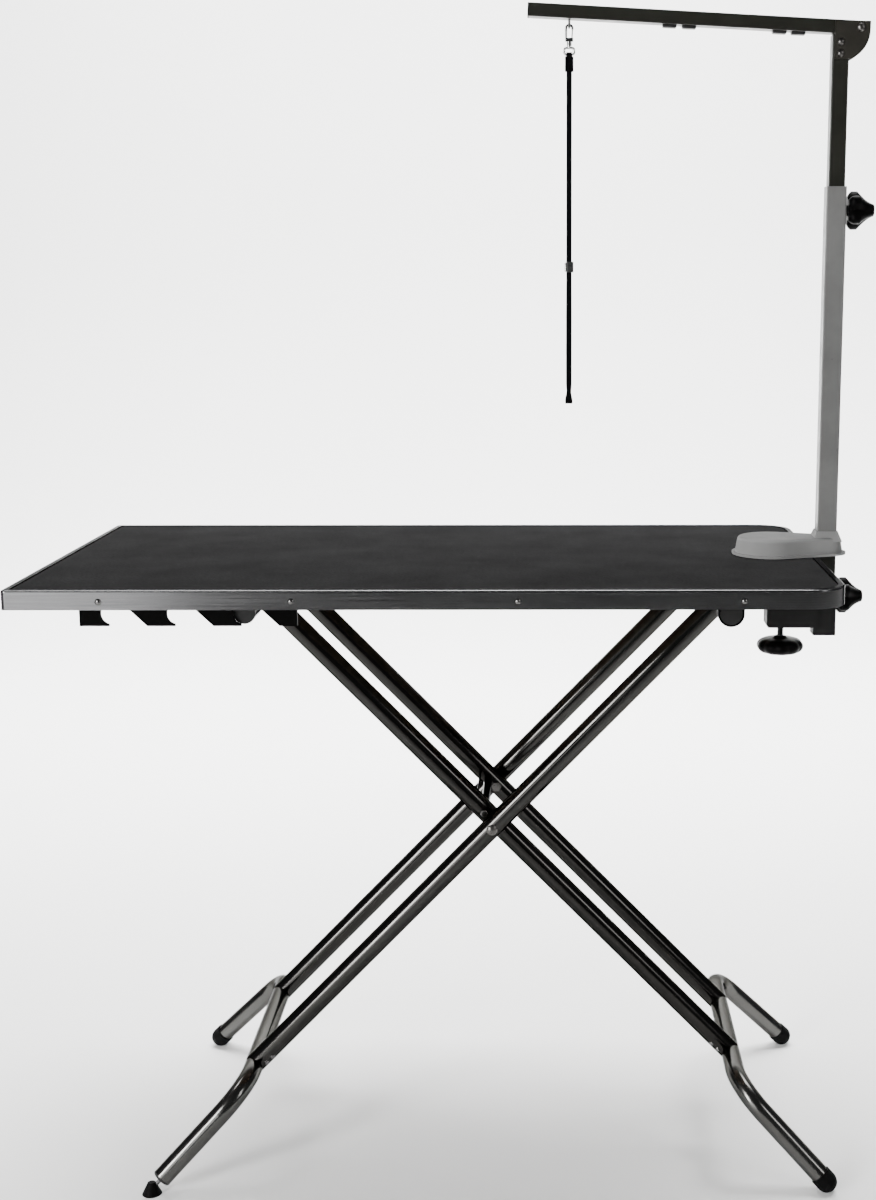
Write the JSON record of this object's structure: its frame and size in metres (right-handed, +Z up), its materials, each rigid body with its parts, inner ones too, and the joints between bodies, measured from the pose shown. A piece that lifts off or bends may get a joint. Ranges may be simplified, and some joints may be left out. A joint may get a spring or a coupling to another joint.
{
  "type": "grooming table",
  "caption": "Folding grooming table with crossed tube legs, rubber-topped board, hooked leg racks, clamp-on height-adjustable arm and hanging noose.",
  "frame": {"origin": "on the floor, under the middle of the whole object's box (legs open, arm level)", "axes": "+Z up, +X along the table towards the arm's post, +Y across the table away from the front edge"},
  "size_m": [1.181, 0.6148, 1.6686],
  "materials": {
    "board": "satin",
    "mat": "matte",
    "band": "satin",
    "screws": "polished",
    "black_steel": "satin",
    "shoe": "satin",
    "grey_post": "satin",
    "legs": "polished",
    "caps": "satin",
    "feet": "matte",
    "bracket": "satin",
    "hook_metal": "polished",
    "slide_metal": "gloss",
    "strap": "woven",
    "knobs": "satin",
    "screw_steel": "brushed"
  },
  "bodies": {
    "tabletop": {"table_board": "board", "rubber_mat": "mat", "edge_band": "band", "edge_screws": "screws", "rack_front": "black_steel", "rack_back": "black_steel", "hinge_saddle_front": "black_steel", "hinge_saddle_back": "black_steel", "underside_screws": "screws", "arm_shoe": "shoe", "lower_post": "grey_post", "clamp_tube": "black_steel"},
    "outer_frame": {"outer_leg_front": "legs", "outer_leg_back": "legs", "outer_top_tube": "legs", "outer_top_caps": "caps", "outer_foot_tube": "legs", "outer_foot_cap": "feet", "outer_foot_plug": "caps", "outer_leg_rivets": "screws", "pivot_bolts": "screws", "pivot_spacers": "screws"},
    "inner_frame": {"inner_leg_front": "legs", "inner_leg_back": "legs", "inner_top_tube": "legs", "inner_top_caps": "caps", "inner_foot_tube": "legs", "inner_foot_caps": "feet", "inner_leg_rivets": "screws", "cross_brace": "legs", "brace_nuts": "screws", "tie_rod": "legs"},
    "levelling_foot": {"levelling_pad": "feet"},
    "levelling_screw": {"levelling_stud": "screws"},
    "mast": {"upper_post": "black_steel", "bracket_plate_front": "bracket", "bracket_plate_back": "bracket", "bracket_bolts": "screws", "arm_pivot_bolt": "screws"},
    "arm": {"arm_tube": "black_steel", "arm_end_caps": "caps", "arm_lugs": "caps", "arm_eyelet": "screws"},
    "hook": {"snap_hook": "hook_metal"},
    "gate": {"snap_gate": "hook_metal"},
    "noose": {"swivel_eye": "hook_metal", "strap_eye": "strap", "noose_strap": "strap"},
    "slide_lock": {"noose_slide": "slide_metal", "noose_slide_clip": "hook_metal"},
    "post_washer": {"post_knob_washer": "screws"},
    "post_screw": {"post_knob": "knobs", "post_knob_stem": "screws"},
    "jaw": {"clamp_jaw": "black_steel"},
    "jaw_washer": {"jaw_knob_washer": "screws"},
    "jaw_screw": {"jaw_knob": "knobs", "jaw_knob_stem": "screws"},
    "pad": {"pressure_pad": "screw_steel"},
    "wheel": {"clamp_screw": "screw_steel", "hand_wheel": "knobs"}
  },
  "joints": [
    {"name": "leg_fold", "type": "hinge", "parent": "tabletop", "child": "outer_frame", "pos_m": [0.3695, 0, 0.8475], "axis": [0, 1, 0], "range_deg": [0, 43.9]},
    {"name": "cross_pivot", "type": "hinge", "parent": "outer_frame", "child": "inner_frame", "pos_m": [0.04242, 0, 0.50998], "axis": [0, 1, 0], "range_deg": [-88, 0]},
    {"name": "levelling_travel", "type": "slide", "parent": "outer_frame", "child": "levelling_foot", "axis": [-0.6803, -0.2109, -0.702], "range_m": [0, 0.0075]},
    {"name": "levelling_spin", "type": "hinge", "parent": "levelling_foot", "child": "levelling_screw", "pos_m": [-0.42941, -0.23603, 0.02309], "axis": [-0.6803, -0.2109, -0.702], "range_deg": [0, 2175]},
    {"name": "arm_height", "type": "slide", "parent": "tabletop", "child": "mast", "axis": [0, 0, 1], "range_m": [-0.165, 0.2]},
    {"name": "arm_fold", "type": "hinge", "parent": "mast", "child": "arm", "pos_m": [0.5615, 0, 1.635], "axis": [0, 1, 0], "range_deg": [0, 235]},
    {"name": "post_knob_travel", "type": "slide", "parent": "tabletop", "child": "post_washer", "axis": [1, 0, 0], "range_m": [0, 0.0025]},
    {"name": "post_knob_spin", "type": "hinge", "parent": "post_washer", "child": "post_screw", "pos_m": [0.534, 0, 1.386], "axis": [1, 0, 0], "range_deg": [0, 730]},
    {"name": "jaw_slide", "type": "slide", "parent": "tabletop", "child": "jaw", "axis": [0, 0, 1], "range_m": [-0.04, 0]},
    {"name": "jaw_knob_travel", "type": "slide", "parent": "jaw", "child": "jaw_washer", "axis": [1, 0, 0], "range_m": [0, 0.0025]},
    {"name": "jaw_knob_spin", "type": "hinge", "parent": "jaw_washer", "child": "jaw_screw", "pos_m": [0.534, 0, 0.826], "axis": [1, 0, 0], "range_deg": [0, 730]},
    {"name": "clamp_travel", "type": "slide", "parent": "jaw", "child": "pad", "axis": [0, 0, 1], "range_m": [-0.0201, 0]},
    {"name": "clamp_spin", "type": "hinge", "parent": "pad", "child": "wheel", "pos_m": [0.4705, 0, 0.75], "axis": [0, 0, 1], "range_deg": [-3600, 0]},
    {"name": "noose_swing", "type": "hinge", "parent": "arm", "child": "hook", "pos_m": [0.154, 0, 1.636], "axis": [0, 1, 0], "range_deg": [-38, 60]},
    {"name": "gate_open", "type": "hinge", "parent": "hook", "child": "gate", "pos_m": [0.1576, 0, 1.6196], "axis": [0, -1, 0], "range_deg": [0, 18], "stiffness_Nm_per_rad": 0.01},
    {"name": "noose_swivel", "type": "hinge", "parent": "hook", "child": "noose", "pos_m": [0.154, 0, 1.605], "axis": [0, 0, 1], "continuous": true},
    {"name": "strap_slide", "type": "slide", "parent": "noose", "child": "slide_lock", "axis": [0, 0, 1], "range_m": [-0.14, 0.24]}
  ],
  "couplings": [
    {"joint": "cross_pivot", "follows": "leg_fold", "ratio": -2},
    {"joint": "levelling_spin", "follows": "levelling_travel", "rad_per_m": 5026.5},
    {"joint": "post_knob_spin", "follows": "post_knob_travel", "rad_per_m": 5026.5},
    {"joint": "jaw_knob_spin", "follows": "jaw_knob_travel", "rad_per_m": 5026.5},
    {"joint": "clamp_travel", "follows": "clamp_spin", "m_per_rad": 0.00031831}
  ]
}
